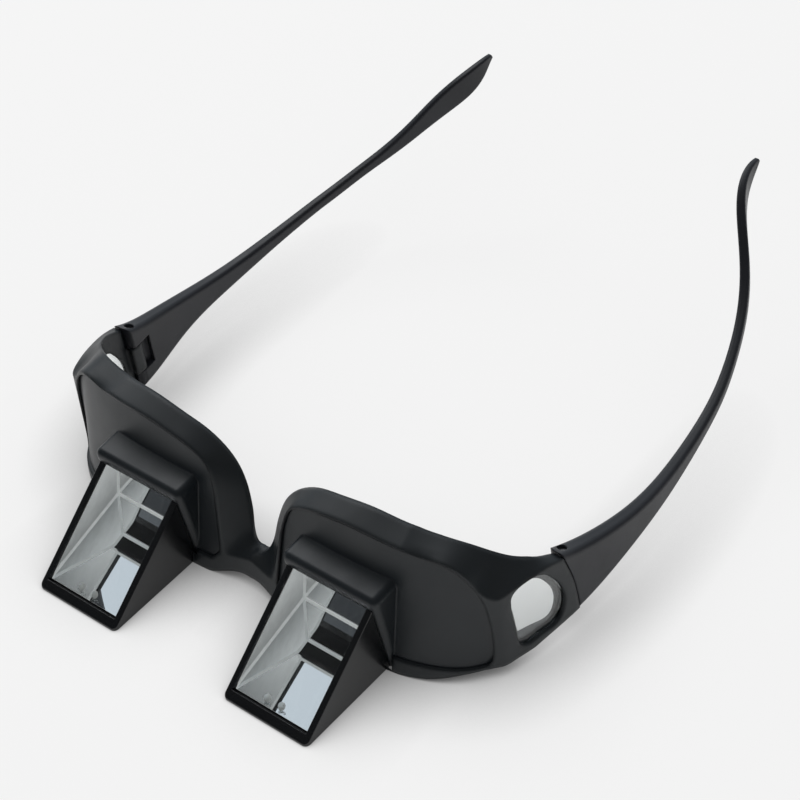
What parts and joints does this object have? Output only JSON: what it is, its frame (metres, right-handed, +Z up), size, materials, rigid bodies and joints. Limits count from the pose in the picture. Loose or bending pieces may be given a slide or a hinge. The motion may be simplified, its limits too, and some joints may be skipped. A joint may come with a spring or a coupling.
{
  "type": "prism bed glasses",
  "caption": "Wraparound glasses whose mirrored right-angle prisms turn the view down to the chest, for reading while lying flat; folding temples.",
  "frame": {"origin": "middle of the overall box, on the table that the prism cases and the lower rim rest on; the glasses lie upside down, as in the picture", "axes": "+X across the face (to the right of the picture), +Y towards the wearer and the temple tips, +Z up from the table"},
  "size_m": [0.1574, 0.1948, 0.0473],
  "materials": {
    "frame": "satin black moulded plastic",
    "lens_panel": "smooth satin black plastic, a little glossier than the frame",
    "prism_case": "polished black plastic",
    "prism_glass": "clear optical glass, polished faces, ground sides and bevels",
    "mirror_coat": "silvered",
    "mirror_backing": "grey backing paint",
    "adhesive": "cured clear adhesive",
    "eye_plate": "satin black plastic",
    "side_window": "clear polycarbonate with a faint green-grey tint",
    "temple": "satin black moulded plastic",
    "screw": "plated steel"
  },
  "bodies": {
    "front": {"front_frame": "frame", "left_lens_panel": "lens_panel", "right_lens_panel": "lens_panel", "left_prism_case": "prism_case", "right_prism_case": "prism_case", "left_prism": "prism_glass", "right_prism": "prism_glass", "left_mirror_coat": "mirror_coat", "right_mirror_coat": "mirror_coat", "left_mirror_backing": "mirror_backing", "right_mirror_backing": "mirror_backing", "left_prism_adhesive": "adhesive", "right_prism_adhesive": "adhesive", "left_eye_plate": "eye_plate", "right_eye_plate": "eye_plate", "left_side_window": "side_window", "right_side_window": "side_window", "left_hinge_screw": "screw", "right_hinge_screw": "screw"},
    "left_arm": {"left_temple": "temple"},
    "right_arm": {"right_temple": "temple"}
  },
  "joints": [
    {"name": "left_fold", "type": "hinge", "parent": "front", "child": "left_arm", "pos_m": [-0.07445, -0.02875, 0.0148], "axis": [0, 0, -1], "range_deg": [0, 87]},
    {"name": "right_fold", "type": "hinge", "parent": "front", "child": "right_arm", "pos_m": [0.07445, -0.02875, 0.0148], "axis": [0, 0, 1], "range_deg": [0, 78]}
  ]
}
